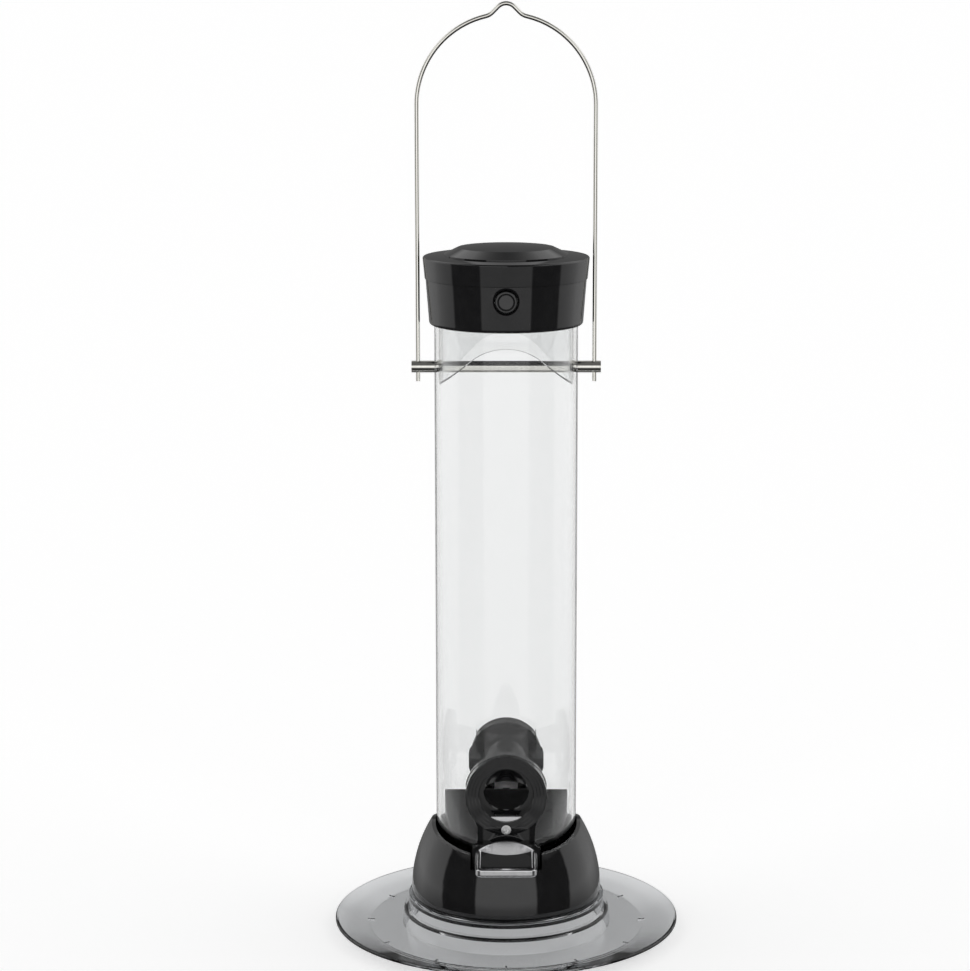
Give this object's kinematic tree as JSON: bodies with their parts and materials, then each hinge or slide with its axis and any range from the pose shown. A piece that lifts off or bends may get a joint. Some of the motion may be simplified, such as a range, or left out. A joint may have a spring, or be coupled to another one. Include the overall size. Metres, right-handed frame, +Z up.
{
  "type": "hanging tube bird feeder",
  "caption": "Hanging tube bird feeder with a wire bail, flip-up lid on a push-button latch, hooded feeding ports with loop perches and a removable seed tray.",
  "frame": {"origin": "centre of the overall box at its bottom: on the tube's axis, at the tray's underside", "axes": "+Z up along the tube, -Y through the port under the latch button, +Y through the other port and the lid hinge"},
  "size_m": [0.1566, 0.1566, 0.4183],
  "materials": {
    "clear": "clear, polished",
    "black": "polished black",
    "smoke": "smoked clear, polished",
    "steel": "drawn stainless wire",
    "bright_cast": "bright cast metal, satin",
    "brass": "turned"
  },
  "bodies": {
    "feeder": {"tube": "clear", "cap_sleeve": "clear", "cap_collar": "black", "lid_hinge_pin": "steel", "latch_bracket": "black", "button_spring": "steel", "port_front": "black", "port_back": "black", "port_sill_front": "bright_cast", "port_sill_back": "bright_cast", "seed_hood_front": "black", "seed_hood_back": "black", "port_screws": "steel", "port_nuts": "steel", "perch_front": "bright_cast", "perch_back": "bright_cast", "base_skirt": "black", "seed_baffle": "black", "base_plate": "black", "base_screws": "steel", "tray_insert": "brass"},
    "bail": {"bail_wire": "steel", "cross_rod": "steel"},
    "lid": {"lid": "black", "lid_crown": "black"},
    "button": {"push_button": "black"},
    "tray": {"tray": "smoke"},
    "knob": {"tray_knob": "smoke", "tray_stud": "steel", "tray_washer": "steel"}
  },
  "joints": [
    {"name": "bail_swing", "type": "hinge", "parent": "feeder", "child": "bail", "pos_m": [0, 0, 0.2588], "axis": [1, 0, 0], "range_deg": [-165, 165]},
    {"name": "lid_hinge", "type": "hinge", "parent": "feeder", "child": "lid", "pos_m": [0, 0.0376, 0.2982], "axis": [-1, 0, 0], "range_deg": [0, 105]},
    {"name": "button_press", "type": "slide", "parent": "feeder", "child": "button", "axis": [0, 1, 0], "range_m": [0, 0.0022], "stiffness_N_per_m": 400, "springref_m": -0.001, "deforming": ["button_spring"]},
    {"name": "tray_drop", "type": "slide", "parent": "feeder", "child": "tray", "axis": [0, 0, -1], "range_m": [0, 0.04]},
    {"name": "knob_turn", "type": "hinge", "parent": "tray", "child": "knob", "pos_m": [0, 0, 0.005], "axis": [0, 0, -1], "continuous": true}
  ]
}
